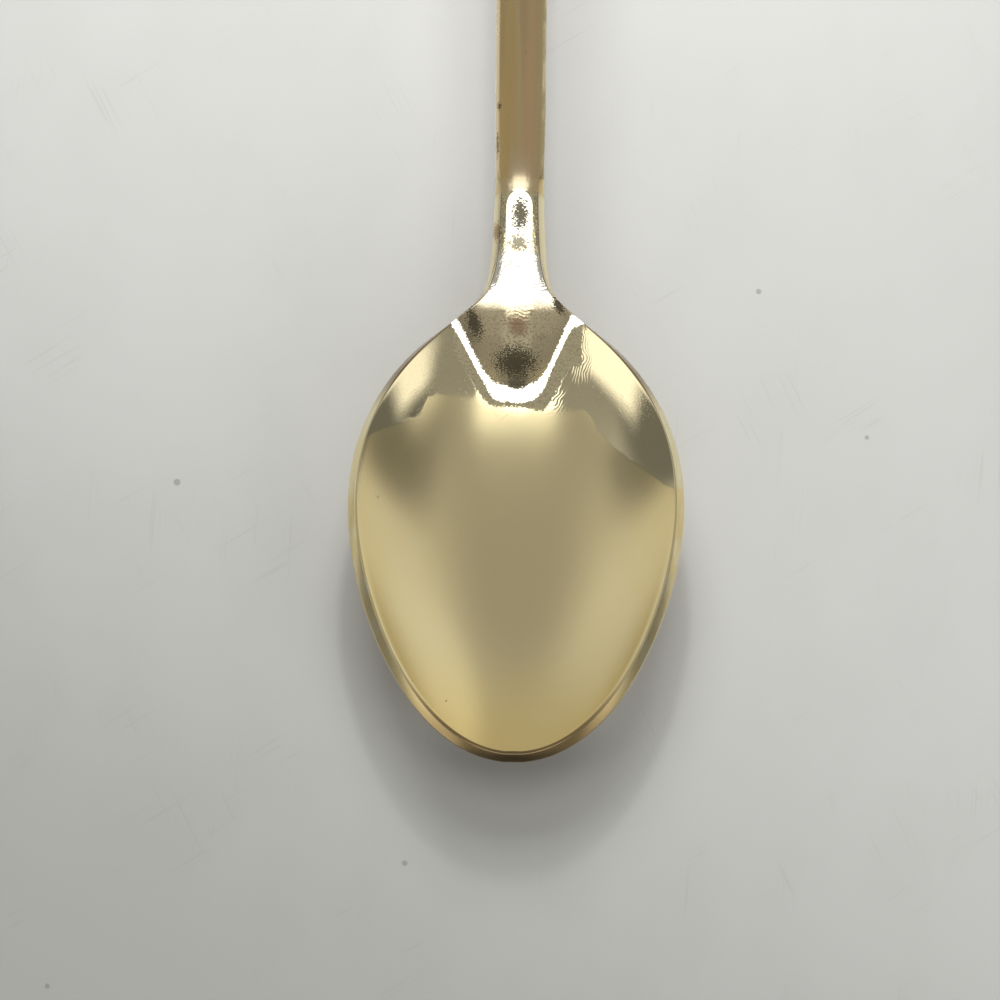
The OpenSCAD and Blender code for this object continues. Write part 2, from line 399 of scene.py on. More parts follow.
# One place in the metal: the tongue over the hollow, and the way through to the underside.
def metalTree(hollow):
    m = Maker("metal", "GeometryNodeTree")
    x, s = m["across"], m["along"]
    here = m.use(hollow)
    ahead = m.use(hollow, along=s + nudge)
    slopeX = here["slopeAcross"]
    slopeY = (ahead["height"] - here["height"]) / nudge
    reach = clampedShare(s / m["shoulderAt"])
    lean = m["rimLeanShare"] * (1 - reach * reach)
    leanX, leanY = slopeX * lean * -1, slopeY * lean * -1
    size = length(leanX, leanY, x * 0 + 1)
    leanX, leanY, leanZ = leanX / size, leanY / size, 1 / size
    wall = m["bowlWall"]
    towardsNeck = eased(m["shoulderAt"] - m["tongueReach"], m["neckStart"], s)
    pastBend = eased(m["bendAt"], m["bendAt"] + m["endLength"], s)
    towardsEnd = eased(m["widenStart"], m["handleLength"], s)
    thickness = wall + (m["neckThickness"] - wall) * towardsNeck
    thickness += (m["stemThickness"] - m["neckThickness"]) * pastBend
    thickness += (m["endThickness"] - m["stemThickness"]) * towardsEnd
    spread = length(x, m["tongueRound"]) ** m["tonguePower"] - m["tongueRound"] ** m["tonguePower"]
    across = spread / (m["tongueWidth"] / 2) ** m["tonguePower"]
    inside = 1 - across - (m["shoulderAt"] - s) / m["tongueReach"]
    steepX = m["tonguePower"] * x * length(x, m["tongueRound"]) ** (m["tonguePower"] - 2)
    steepness = length(steepX / (m["tongueWidth"] / 2) ** m["tonguePower"], 1 / m["tongueReach"])
    ramp = doMath("SMOOTH_MAX", inside * tongueRamp, 0, creaseBlend)
    tongue = doMath("SMOOTH_MIN", ramp, 1, crestBlend)
    v = x / here["halfWidth"]
    crowned = here["edgeHeight"] + m["crown"] * (1 - v * v)
    return m.give(
        edgeHeight=here["edgeHeight"], halfWidth=here["halfWidth"],
        top=pick(tongue, crowned, here["height"]), toCrease=inside / steepness,
        thickness=thickness, slopeX=slopeX, slopeY=slopeY,
        leanX=leanX, leanY=leanY, leanZ=leanZ,
        underX=x - thickness * leanX, underY=s - thickness * leanY,
        underZ=largest(here["height"] - thickness * leanZ, 0),
    )


# Rounded from a over b to c, or straight where flat is 1.
def curved(a, b, c, t, flat):
    rest = 1 - t
    middle = b + ((a + c) / 2 - b) * flat
    return a * rest * rest + middle * t * rest * 2 + c * t * t


# A stretch of the spoon between two stations: a tube whose rings are bent into its section.
def stretchTree(metal, outline):
    m = Maker("spoonStretch", "GeometryNodeTree")
    top, under, corner = m["topSteps"] + 0, m["underSteps"] + 0, m["cornerSteps"] + 0
    around = top + under + corner * 4 + 2
    tubeSizes = {"Vertices": around, "Side Segments": m["rings"], "Radius": 1, "Depth": 1}
    tube = m.add("GeometryNodeMeshCylinder", tubeSizes, fill_type="TRIANGLE_FAN")
    tubeX, tubeY, tubeZ = splitXyz(m.tree, m.add("GeometryNodeInputPosition").outputs[0])
    turned = doMath("ARCTAN2", tubeY, tubeX) / (2 * math.pi) * around
    j = doMath("FLOORED_MODULO", doMath("ROUND", turned), around)
    isHub = below(length(tubeX, tubeY), 0.5)        # the middle of each end
    t = clampedShare(tubeZ + 0.5)
    early = 1 - doMath("COSINE", t * (math.pi / 2))
    late = doMath("SINE", t * (math.pi / 2))
    spaced = t + m["gatherStart"] * (early - t) + m["gatherEnd"] * (late - t)
    s = m["fromStation"] + (m["toStation"] - m["fromStation"]) * spaced

    halfWidth = m.use(outline, along=s)["halfWidth"]
    wider = m.use(outline, along=s + nudge)["halfWidth"] - m.use(outline, along=s - nudge)["halfWidth"]
    followed = 1 - eased(m["shoulderAt"] - m["tongueReach"], m["neckStart"], s)
    followed += eased(m["widenStart"], m["widenStart"] + m["endLength"] / 2, s)
    turn = wider / (2 * nudge) * followed
    rim = m.use(metal, across=halfWidth, along=s)
    inNeck = eased(m["shoulderAt"], m["neckStart"], s)
    pastBend = eased(m["bendAt"] - m["bendRound"], m["bendAt"] + m["bendRound"], s)
    r = m["rimRound"] + (m["neckBevel"] - m["rimRound"]) * inNeck
    r += (m["handleRound"] - m["neckBevel"]) * pastBend
    flat = m["bevelShare"] * inNeck * (1 - pastBend)
    inwardZ = turn * rim["slopeY"] - rim["slopeX"]
    inwardSize = length(inwardZ, turn, s * 0 + 1)
    startX = halfWidth - r / inwardSize
    startY = s + r * turn / inwardSize

    isTop = below(j, top + 0.5)
    isUnder = below(top + corner * 2 + 0.5, j) * below(j, top + corner * 2 + under + 1.5)
    isLeft = below(top + corner * 2 + under + 1.5, j)
    topX = startX * (j * 2 / top - 1)
    underX = startX * (1 - (j - (top + corner * 2 + 1)) * 2 / under)
    lookX = pick(isTop, topX, pick(isUnder, underX, startX)) * (1 - isHub)
    look = m.use(metal, across=lookX, along=startY)

    e = pick(isLeft, around - 1 - j, j - (top + 1))
    isUpper = below(e, corner - 0.5)
    k = pick(isUpper, e + 1, e - corner) / corner
    rn = [r * rim["leanX"], r * rim["leanY"], r * rim["leanZ"]]
    a = [halfWidth, s, rim["edgeHeight"]]
    b = [a[0] - rim["thickness"] * rim["leanX"], s - rim["thickness"] * rim["leanY"],
         a[2] - rim["thickness"] * rim["leanZ"]]
    aTop = [startX, startY, look["top"]]
    low = [look["underX"], look["underY"], look["underZ"]]
    place = []
    for axis in range(3):
        upper = curved(aTop[axis], a[axis], a[axis] - rn[axis], k, flat)
        lower = curved(b[axis] + rn[axis], b[axis], low[axis], k, 0)
        edge = pick(isUpper, upper, lower)
        if axis == 0:
            edge = edge * (1 - isLeft * 2)
        topPlace = (lookX, startY, look["top"])[axis]
        place.append(pick(isTop, topPlace, pick(isUnder, low[axis], edge)))
    hub = [s * 0, (startY + look["underY"]) / 2, (look["top"] + look["underZ"]) / 2]
    place = [pick(isHub, hub[axis], place[axis]) for axis in range(3)]
    # A gathered end is closed along the middle, so that its rim runs on across it.
    half = 0.5 / m["rings"]
    place[0] *= 1 - m["gatherStart"] * below(t, half) - m["gatherEnd"] * below(1 - half, t)
    shift = m["tipBand"] - m["overallLength"] / 2
    place = [place[0], place[1] + shift, largest(place[2], 0)]
    placed = joinXyz(m.tree, *(part / perMetre for part in place))
    isEdge = (1 - isTop) * (1 - isUnder)

    geometry = tube.outputs["Mesh"]
    for name, value in (("toCrease", look["toCrease"]), ("edge", isEdge), ("under", isUnder)):
        stored = {"Geometry": geometry, "Name": name, "Value": value}
        store = m.add("GeometryNodeStoreNamedAttribute", stored, data_type="FLOAT", domain="POINT")
        geometry = store.outputs[0]
    angle = Num(m.tree, m.add("GeometryNodeInputMeshEdgeAngle").outputs["Unsigned Angle"])
    steps = [
        ("GeometryNodeSetPosition", {"Position": placed}, {}),
        ("GeometryNodeSetShadeSmooth", {}, {}),
        ("GeometryNodeSetShadeSmooth", {"Selection": below(sharpAngle, angle), "Shade Smooth": False},
         {"domain": "EDGE"}),
        ("GeometryNodeRealizeInstances", {}, {}),
        ("GeometryNodeSetMaterial", {"Material": m["finish"]}, {}),
    ]
    for kind, plugs, settings in steps:
        geometry = m.add(kind, {"Geometry": geometry, **plugs}, **settings).outputs[0]
    return m.give(mesh=geometry)


outline = outlineTree()
hollow = hollowTree(outline, sideViewTree(bumpTree()))
stretch = stretchTree(metalTree(hollow), outline)
print("spoon tree built:", sum(len(group.nodes) for group in bpy.data.node_groups), "nodes")


def growPiece(name, values):
    holder = bpy.data.objects.new(name + "Rule", bpy.data.meshes.new(name + "Rule"))
    scene.collection.objects.link(holder)
    rule = holder.modifiers.new("shape", "NODES")
    rule.node_group = stretch
    for item in stretch.interface.items_tree:
        if item.in_out == "INPUT":
            value = values[item.name]
            rule[item.identifier] = float(value) if item.socket_type == "NodeSocketFloat" else value
    bpy.context.view_layer.update()
    evaluated = holder.evaluated_get(bpy.context.evaluated_depsgraph_get())
    mesh = bpy.data.meshes.new_from_object(evaluated)
    mesh.name = name
    piece = bpy.data.objects.new(name, mesh)
    scene.collection.objects.link(piece)
    bpy.data.objects.remove(holder)
    return piece


def scaledPlace(m, place, stretch, shift=(0, 0, 0)):
    node = m.add("ShaderNodeVectorMath", {0: place, 1: stretch, 2: shift}, operation="MULTIPLY_ADD")
    return Num(m.tree, node.outputs[0])


seedShift = (17.3, -9.7, 5.1)


# A seed only moves the noise to another place.
def noise(m, place, stretch, seed, detail=1.0, roughness=0.5):
    shifted = scaledPlace(m, place, stretch, tuple(seed * step for step in seedShift))
    plugs = {"Vector": shifted, "Scale": 1, "Detail": detail, "Roughness": roughness}
    return Num(m.tree, m.add("ShaderNodeTexNoise", plugs, noise_dimensions="3D").outputs["Fac"])


def turnedPlace(m, place, degrees):
    plugs = {"Vector": place, "Angle": math.radians(degrees)}
    return Num(m.tree, m.add("ShaderNodeVectorRotate", plugs, rotation_type="Z_AXIS").outputs[0])


# Shader effects that several finishes share, in millimetres. A pair of values is where a mask
# starts and where it is full. Noise has its stretch, seed, detail and roughness.
effectSetup = {
    "grain": {"broader": 0.3, "seeds": (3, 8), "shares": (0.7, 0.6)},
    "hairlines": {
        "sets": ((11, 4, 9), (12, -27, 7), (13, 58, 7)),    # seed, degrees, lines to a millimetre
        "along": 0.16, "crest": (0.7, 0.78),
        "breaks": (0.3, 0.12, 0.3), "breakSeed": 20, "whole": (0.5, 0.62),
    },
    "smudges": {"along": 0.7, "seed": 31, "detail": 3.0, "cloud": (0.35, 0.7)},
    "darkSpot": {
        "speckles": ((7.5, 7.5, 7.5), 41, 0.6), "ragged": 1.5,
        "core": 0.85, "sunk": 0.17, "edge": (-0.02, 0.24), "limit": (-0.5, -0.1),
    },
    "edgeRub": {"patches": ((0.9, 0.35, 0.9), 51, 3.0), "edge": (0.3, 0.9), "patch": (0.42, 0.66)},
    "specks": {"chance": 0.15, "least": 0.4, "spread": 0.8, "core": 0.6},
    "bendTurn": {
        "streaks": ((4, 0.5, 4), 64, 2.0), "ragged": 0.8,
        "alongStem": (-13.9, -18), "acrossStem": (0.3, 1.6), "stemEnd": (-18.3, -18),
        "roundFrom": -19.4, "roundHalf": 1.2, "roundReach": 1.5, "roundEdge": (0.85, 1.02),
        "alongNeck": (-24, -21), "most": 0.9,
    },
}


# The fine unevenness of polished and plated metal.
def grainGroup(setup):
    m = Maker("metalGrain", "ShaderNodeTree")
    fine = 1 / m["size"]
    broad = fine * setup["broader"]
    small = noise(m, m["place"], joinXyz(m.tree, fine, fine, fine), setup["seeds"][0])
    large = noise(m, m["place"], joinXyz(m.tree, broad, broad, broad), setup["seeds"][1])
    return m.give(height=small * setup["shares"][0] + large * setup["shares"][1])


# Thin scratches: long noise, of which only the crests are kept, broken up along the way.
def hairlineGroup(setup):
    m = Maker("hairlines", "ShaderNodeTree")
    total = None
    for seed, degrees, across in setup["sets"]:
        turned = turnedPlace(m, m["place"], degrees)
        line = noise(m, turned, (across, setup["along"], across), seed, detail=0.0)
        broken = noise(m, turned, setup["breaks"], seed + setup["breakSeed"])
        crest = eased(*setup["crest"], line) * eased(*setup["whole"], broken)
        total = crest if total is None else largest(total, crest)
    return m.give(mask=total * m["amount"])


# Faint cloudy traces of handling and of a thin tarnish film.
def smudgeGroup(setup):
    m = Maker("smudges", "ShaderNodeTree")
    each = 1 / m["size"]
    stretch = joinXyz(m.tree, each, each * setup["along"], each)
    cloud = noise(m, m["place"], stretch, setup["seed"], setup["detail"])
    return m.give(mask=eased(*setup["cloud"], cloud))


# One dark speckled mark with a soft edge.
def spotGroup(setup):
    m = Maker("darkSpot", "ShaderNodeTree")
    x, y, _ = splitXyz(m.tree, m["place"])
    x, y = x - m["centreX"], y - m["centreY"]
    cosine, sine = doMath("COSINE", m["turn"]), doMath("SINE", m["turn"])
    u = (x * cosine + y * sine) / m["halfX"]
    v = (y * cosine - x * sine) / m["halfY"]
    speckle = noise(m, m["place"], *setup["speckles"])
    inner = 1 - length(u, v)
    level = inner * setup["core"] - setup["sunk"] + (speckle - 0.5) * setup["ragged"]
    return m.give(mask=eased(*setup["edge"], level) * eased(*setup["limit"], inner) * m["strength"])


# Plating rubbed thin along the edges.
def edgeRubGroup(setup):
    m = Maker("edgeRub", "ShaderNodeTree")
    patchy = noise(m, m["place"], *setup["patches"])
    return m.give(mask=eased(*setup["edge"], m["edge"]) * eased(*setup["patch"], patchy))


# Tiny pits and grains, one in about seven squares of the given spacing.
def speckGroup(setup):
    m = Maker("specks", "ShaderNodeTree")
    each = 1 / m["spacing"]
    scaled = scaledPlace(m, m["place"], joinXyz(m.tree, each, each, each))
    cells = m.add("ShaderNodeTexVoronoi", {"Vector": scaled, "Scale": 1}, voronoi_dimensions="2D")
    distance = Num(m.tree, cells.outputs["Distance"])
    chance, grown, _ = splitXyz(m.tree, Num(m.tree, cells.outputs["Color"]))
    reach = m["size"] / m["spacing"] * (grown * setup["spread"] + setup["least"])
    shown = below(chance, setup["chance"])
    return m.give(mask=(1 - eased(reach * setup["core"], reach, distance)) * shown)


# The hollow ground into the bend, which catches the front light: how much it tilts the surface.
def bendTurnGroup(setup):
    m = Maker("bendTurn", "ShaderNodeTree")
    x, y, _ = splitXyz(m.tree, m["place"])
    streak = noise(m, m["place"], *setup["streaks"]) - 0.5
    across = 1 - eased(*setup["acrossStem"], absolute(x) + streak * setup["ragged"])
    onStem = eased(*setup["alongStem"], y) * across * eased(*setup["stemEnd"], y)
    past = largest(y - setup["roundFrom"], 0) / setup["roundReach"]
    inner = 1 - eased(*setup["roundEdge"], length(x / setup["roundHalf"], past))
    onNeck = inner * eased(*setup["alongNeck"], y)
    return m.give(share=largest(onStem, onNeck) * setup["most"])


effectMakers = {
    "grain": grainGroup, "hairlines": hairlineGroup, "smudges": smudgeGroup, "darkSpot": spotGroup,
    "edgeRub": edgeRubGroup, "specks": speckGroup, "bendTurn": bendTurnGroup,
}
effects = {name: make(effectSetup[name]) for name, make in effectMakers.items()}
print("shader effects built")


# A material around one Principled shader, which finds its values in its setup.
class Finish(Tree):
    def __init__(self, name, setup):
        self.setup = setup
        self.material = bpy.data.materials.new(name)
        self.material.use_nodes = True
        super().__init__(self.material.node_tree)
        self.shader = self.tree.nodes["Principled BSDF"]
        self.shader.inputs["Metallic"].default_value = setup["metallic"]
        objectPlace = self.add("ShaderNodeTexCoord").outputs["Object"]
        self.place = scaledPlace(self, Num(self.tree, objectPlace), (perMetre, perMetre, perMetre))

    def attribute(self, name):
        return Num(self.tree, self.add("ShaderNodeAttribute", attribute_name=name).outputs["Fac"])

    def effect(self, name, **given):
        values = {"place": self.place, **self.setup.get(name, {}), **given}
        (output,) = self.use(effects[name], **values).values()
        return output

    def noise(self, name):
        return noise(self, self.place, *self.setup["noises"][name])

    # How far a value has come through a named range, from 0 to 1.
    def fade(self, name, value):
        return eased(*self.setup["fades"][name], value)

    def mix(self, share, first, second):
        colors = [color if isinstance(color, Num) else (*color, 1) for color in (first, second)]
        plugs = {"Factor": share, 6: colors[0], 7: colors[1]}
        return Num(self.tree, self.add("ShaderNodeMix", plugs, data_type="RGBA").outputs[2])

    # Lays colours of the setup over one another, each by its share.
    def tint(self, color, *layers):
        for share, name in layers:
            color = self.mix(share, color, self.setup[name])
        return color

    # Height is in millimetres. Each turn is a share and the direction it turns the surface to.
    def close(self, color, roughness, height, turns=()):
        bump = self.add("ShaderNodeBump", {"Height": height, "Distance": 1 / perMetre})
        normal = bump.outputs["Normal"]
        for share, direction in turns:
            blend = {"Factor": share, 4: normal, 5: direction}
            mixed = self.add("ShaderNodeMix", blend, data_type="VECTOR").outputs[1]
            normal = self.add("ShaderNodeVectorMath", {0: mixed}, operation="NORMALIZE").outputs[0]
        for name, value in (("Base Color", color), ("Roughness", roughness), ("Normal", normal)):
            plug(self.tree, self.shader.inputs[name], value)
        return self.material


# Painted reflections: the neck's two dark spots stand for a dark thing above, mirrored in the polished
# metal.
neckMarks = {
    "upperSpot": {"centreX": 0.1, "centreY": -20.1, "halfX": 1.0, "halfY": 1.8, "strength": 0.97},
    "lowerSpot": {"centreX": -0.05, "centreY": -22.55, "halfX": 1.15, "halfY": 0.95, "strength": 0.78},
}
# On the tongue, the pool is a painted dark reflection of a dark thing above. The two shoulder marks are
# darker patches beside the land.
tongueMarks = {
    "pool": {"centreX": -0.2, "centreY": -33.0, "halfX": 2.6, "halfY": 1.9, "strength": 1},
    "leftShoulder": {"centreX": -4.0, "centreY": -29.6, "halfX": 0.9, "halfY": 2.0, "turn": 0.35,
                     "strength": 1},
    "rightShoulder": {"centreX": 3.7, "centreY": -28.0, "halfX": 0.6, "halfY": 1.1, "turn": 0.6,
                      "strength": 1},
}
stemMarks = {
    "nick": {"centreX": -1.9, "centreY": -10.6, "halfX": 0.25, "halfY": 0.4, "strength": 0.9},
    "lowerNick": {"centreX": -2.0, "centreY": -14.0, "halfX": 0.16, "halfY": 1.5, "strength": 0.7},
}


def allMarks(m, marks):
    total = None
    for mark in marks.values():
        mask = m.effect("darkSpot", **mark)
        total = mask if total is None else largest(total, mask)
    return total


up = (0, 0, 1)
scratchDulling = 0.05
scratchDepth = 0.002
pitDepth = 0.01

# The bowl: satin below, hand polished above a line that runs under the tongue.
bowlSetup = {
    "metallic": 1,
    "satin": (0.87, 0.745, 0.425),
    "warm": (0.9, 0.7, 0.29),
    "polished": (0.88, 0.78, 0.5),
    "rubbed": (0.93, 0.86, 0.62),
    "bevel": (0.98, 0.88, 0.6),
    "landColor": (1, 0.96, 0.82),
    "stain": (0.085, 0.07, 0.045),
    "speckled": (0.42, 0.31, 0.2),
    "worn": (0.38, 0.22, 0.14),
    "rimShade": (0.2, 0.13, 0.07),
    "satinRoughness": 0.225,
    "polishedRoughness": 0.07,
    "smudges": {"size": 5.0},
    "hairlines": {"amount": 0.6},
    "specks": {"spacing": 3.2, "size": 0.09},
    "grain": {"size": 0.22},
    # the bright land, from left to right: x and how far outside the crease it lies
    "landLine": [(-6.2, -0.25), (-5.19, -0.33), (-4.35, -0.29), (-3.7, -0.15), (-2.95, -0.1),
                 (-1.57, -0.45), (-0.2, -0.85), (1.17, -0.74), (2.26, -0.5), (2.89, -0.62),
                 (3.43, -0.86), (4.05, -1.05), (4.68, -1.15), (5.31, -0.84), (6.2, -0.2)],
    "landFacing": (0, -0.375, 0.927),
    "tongueFacing": (0, -0.6, 0.8),
    # where the polish ends, from left to right: x and y
    "polishLine": [(-15.5, -41), (-12.95, -39.65), (-9.01, -37.95), (-7.92, -36.19), (-5.54, -35.8),
                   (-2.95, -36.33), (-0.19, -36.95), (1.65, -37), (5.89, -37.2), (7.57, -39.2),
                   (10.16, -41.7), (12.76, -43.5), (14.2, -44.4), (15.5, -44.6)],
    "polishEdge": (-0.15, 0.3),
    "middleEdge": (-1.05, 0.6),
    "rosyAt": (0, -29.9),
    "wornAt": (0, -29.8),
    "poolAt": (0.2, -32.6),
    "rippleRate": 20,
    "noises": {
        "polishEnd": ((0.8, 0.8, 0.8), 61, 3.0), "pepper": ((4.5, 4.5, 4.5), 63, 1.0, 0.7),
        "grainy": ((5, 5, 5), 91, 2.0), "wobble": ((0.6, 0.6, 0.6), 71),
    },
    "fades": {
        # across the spoon
        "pastMiddle": (3.5, 7), "warmSide": (9, 14.5), "rightSide": (0, 3), "bandSide": (5.8, 5.95),
        "aside": (0.9, 1.7), "steepAside": (0.9, 1.5), "pastFoot": (1.5, 3.6), "shoulder": (4.5, 7),
        "ripples": (-2.5, 2),
        # along it
        "warmTip": (-58, -69), "rubbedPart": (-64, -60), "below": (-26.3, -27.5),
        "root": (-28.6, -26.9), "bevel": (-31, -27), "tipFace": (-69, -69.3),
        "tipShade": (-62, -67.2), "tipStain": (-68.3, -69.3), "flankStart": (-38, -34),
        "flankEnd": (-26, -30), "steepStart": (-28.1, -28.8), "steepEnd": (-31, -29.8),
        # away from the land and the marks
        "onTongue": (-0.4, 0.6), "bandStart": (-0.1, -0.4), "bandEnd": (1.25, 1.35),
        "offLand": (0.2275, 0.42), "rosy": (1.2, 3.4), "worn": (0.3, 1.4),
        "ripplesStart": (1.4, 2.6), "ripplesEnd": (6, 7.5),
        # in a mask
        "pepper": (0.48, 0.62), "onEdge": (0.1, 0.6),
    },
}


# The height of a line drawn through given points, read at x.
def drawnLine(m, x, points):
    lowest, highest = min(p[1] for p in points), max(p[1] for p in points)
    node = m.add("ShaderNodeFloatCurve")
    curve = node.mapping.curves[0]
    left, right = points[0][0], points[-1][0]
    spots = [((px - left) / (right - left), (py - lowest) / (highest - lowest)) for px, py in points]
    curve.points[0].location = spots[0]
    curve.points[1].location = spots[-1]
    for spot in spots[1:-1]:
        curve.points.new(*spot)
    node.mapping.update()
    plug(m.tree, node.inputs["Value"], (x - left) / (right - left))
    return Num(m.tree, node.outputs[0]) * (highest - lowest) + lowest


def bowlFinish(setup):
    m = Finish("bowlGold", setup)
    x, y, _ = splitXyz(m.tree, m.place)
    fromMiddle = absolute(x)
    edge = m.attribute("edge")

    def distance(name, narrower=1):
        centreX, centreY = setup[name]
        return length((x - centreX) * narrower, y - centreY)

    above = y + (m.noise("polishEnd") - 0.5) * 0.9 - drawnLine(m, x, setup["polishLine"])
    softer = 1 - m.fade("pastMiddle", fromMiddle)
    starts, full = (pick(softer, *pair) for pair in zip(setup["middleEdge"], setup["polishEdge"]))
    polish = eased(starts, full, above) * (1 - m.attribute("under"))
    # the tongue's dark marks: the pool among them is a painted dark reflection
    paintedDarkMarks = allMarks(m, tongueMarks) * polish
    cloudy = m.effect("smudges")
    rubbed = m.effect("edgeRub", edge=edge) * m.fade("rubbedPart", y)
    scratched = m.effect("hairlines")
    pitted = m.effect("specks")
    height = m.effect("grain")

    # Painted light: the gold is warmer towards the tip and the sides, standing in for light that one
    # gold wall throws onto the other.
    warmth = m.fade("warmTip", y) * 0.85 + m.fade("warmSide", fromMiddle) * 0.25
    color = m.tint(
        setup["satin"],
        (clampedShare(warmth + (cloudy - 0.5) * 0.12), "warm"),
        (polish, "polished"),
    )

    # The tongue is peppered and reddish, and a flat dull band runs round outside its land.
    grainy = (m.noise("grainy") - 0.5) * 0.7
    fromLand = m.attribute("toCrease") + drawnLine(m, x, setup["landLine"])
    onTongue = m.fade("onTongue", fromLand)
    bandEnd = m.fade("bandEnd", m.fade("rightSide", x) * -0.7 - fromLand + grainy)
    band = m.fade("bandStart", fromLand) * (1 - bandEnd) * polish
    band = band * (1 - m.fade("bandSide", fromMiddle + grainy * 0.5))
    rosy = 1 - m.fade("rosy", distance("rosyAt", 0.7))
    fromColumn = absolute(x + 0.1)
    aside = m.fade("aside", fromColumn) * m.fade("below", y) * onTongue
    peppered = m.fade("pepper", m.noise("pepper")) * polish
    peppered = peppered * (0.05 + onTongue * 0.4 + rosy * 0.3 + band * 0.35)
    # The tongue's sides are darkened as painted shade that dims their reflection. The top of the bowl by
    # the neck is lightened to the land's colour as a painted highlight, and its polished edges there are
    # lightened as a painted bevel highlight.
    color = m.tint(
        color,
        (largest(peppered, aside * 0.35), "speckled"),
        ((1 - m.fade("worn", distance("wornAt"))) * onTongue * 0.75, "worn"),
        (rubbed * 0.5, "rubbed"),
        (m.fade("root", y) * polish * (1 - edge), "landColor"),
        (m.fade("bevel", y) * edge * polish * 0.6, "bevel"),
    )
    # Painted shade: the rim's edge darkens towards the tip and along the upper flanks, most of all on
    # the tip's outer face.
    onEdge = largest(m.fade("onEdge", edge), m.fade("tipFace", y))
    shade = largest(m.fade("tipShade", y), m.fade("flankStart", y) * m.fade("flankEnd", y))
    color = m.tint(
        color,
        (shade * onEdge * 0.8, "rimShade"),
        (m.fade("tipStain", y) * onEdge * 0.5, "stain"),
        (largest(paintedDarkMarks * 0.9, pitted * 0.45), "stain"),
    )
    satinRoughness = setup["satinRoughness"] + (cloudy - 0.5) * 0.02
    dulled = paintedDarkMarks * 0.3 + largest(rosy * 0.5, aside) * 0.14
    roughness = pick(polish, setup["polishedRoughness"] + dulled, satinRoughness)

    # Polishing marks run round the pool at the foot of the tongue.
    fromPool = distance("poolAt")
    ripple = doMath("SINE", (fromPool + m.noise("wobble") * 1.6) * setup["rippleRate"])
    nearPool = m.fade("ripplesStart", fromPool) * (1 - m.fade("ripplesEnd", fromPool))
    rough = pick(polish, height * (0.002 + onTongue * 0.006), height * 0.0004)
    relief = rough + ripple * nearPool * m.fade("ripples", x) * polish * 0.0022
    relief = relief - scratched * scratchDepth - pitted * pitDepth

    # A narrow land at the crease, broadest at the tongue's foot, turned to the front lamp; its
    # near-white colour is a painted highlight.
    atFoot = 1 - m.fade("pastFoot", fromMiddle)
    offLand = absolute(fromLand + grainy + atFoot * 0.3) - atFoot * 0.32
    land = (1 - m.fade("offLand", offLand)) * polish
    color = m.tint(color, (land, "landColor"))
    shoulder = polish * (1 - onTongue) * m.fade("shoulder", fromMiddle) * (1 - edge) * 0.14
    steeper = m.fade("steepAside", fromColumn + grainy * 0.5) * polish * onTongue
    steeper = steeper * m.fade("steepStart", y + grainy * 0.4) * m.fade("steepEnd", y) * 0.6
    turns = [(steeper, setup["tongueFacing"]), (largest(shoulder, band * 0.62), up),
             (land, setup["landFacing"])]
    return m.close(color, roughness + scratched * scratchDulling, relief, turns)


neckSetup = {
    "metallic": 1,
    "satin": (0.78, 0.6, 0.32),
    "polished": (0.88, 0.78, 0.5),
    "bright": (1, 0.95, 0.8),
    "rubbed": (0.98, 0.88, 0.6),
    "worn": (0.45, 0.26, 0.15),
    "wornMark": {"centreX": -2.0, "centreY": -21.6, "halfX": 0.5, "halfY": 1.0, "strength": 0.8},
    "stain": (0.08, 0.07, 0.045),
    "roughness": 0.06,
    "satinRoughness": 0.27,
    "polishEnd": -18.1,
    "bendFacing": (0, -0.47, 0.883),
    "stemFacing": (0, -0.08, 0.997),
    "smudges": {"size": 1.6},
    "hairlines": {"amount": 0.6},
    "grain": {"size": 0.22},
    "noises": {"ragged": ((2.5, 1.2, 2.5), 62, 2.0), "speckle": ((7, 7, 7), 65, 1.0, 0.8)},
    "fades": {"polishEnd": (-0.25, 0.35), "speckle": (0.42, 0.62), "speckledSide": (1.05, 1.3),
              "root": (-22.5, -24.5)},
}


def neckFinish(setup):
    m = Finish("neckGold", setup)
    x, y, _ = splitXyz(m.tree, m.place)
    edge = m.attribute("edge")
    seen = 1 - m.attribute("under")
    fromEnd = y - setup["polishEnd"] + x * x * 0.12 + (m.noise("ragged") - 0.5) * 0.8
    polish = 1 - m.fade("polishEnd", fromEnd)
    # the two dark spots are painted reflections of a dark thing above
    paintedDarkMarks = allMarks(m, neckMarks) * seen
    rubbed = m.effect("edgeRub", edge=edge)
    scratched = m.effect("hairlines")
    cloudy = m.effect("smudges")
    height = m.effect("grain")
    speckled = m.fade("speckle", m.noise("speckle")) * m.fade("speckledSide", absolute(x))
    turned = m.effect("bendTurn") * seen
    # Painted highlight: the bend's ground hollow and the polished foot of the neck are lightened where
    # they mirror the front lamp, and the polished edges are lightened as well. The rubbed patches are
    # real wear.
    bright = largest(turned * pick(polish, 1, 0.4), m.fade("root", y) * polish)
    color = m.tint(
        setup["satin"],
        (polish, "polished"),
        (speckled * (1 - edge) * polish * 0.5, "stain"),
        (largest(rubbed, edge * polish) * 0.6, "rubbed"),
        (m.effect("darkSpot", **setup["wornMark"]), "worn"),
        (bright * (1 - edge) * seen, "bright"),
        (paintedDarkMarks, "stain"),
    )
    satinRoughness = setup["satinRoughness"] + cloudy * 0.03 - turned * 0.05
    roughness = pick(polish, setup["roughness"] + cloudy * 0.03, satinRoughness)
    roughness = roughness + paintedDarkMarks * 0.15 + scratched * scratchDulling
    relief = height * pick(polish, 0.007, 0.001) - scratched * scratchDepth
    turns = [((1 - polish) * (1 - edge) * 0.75, setup["stemFacing"]), (turned, setup["bendFacing"])]
    return m.close(color, roughness, relief, turns)


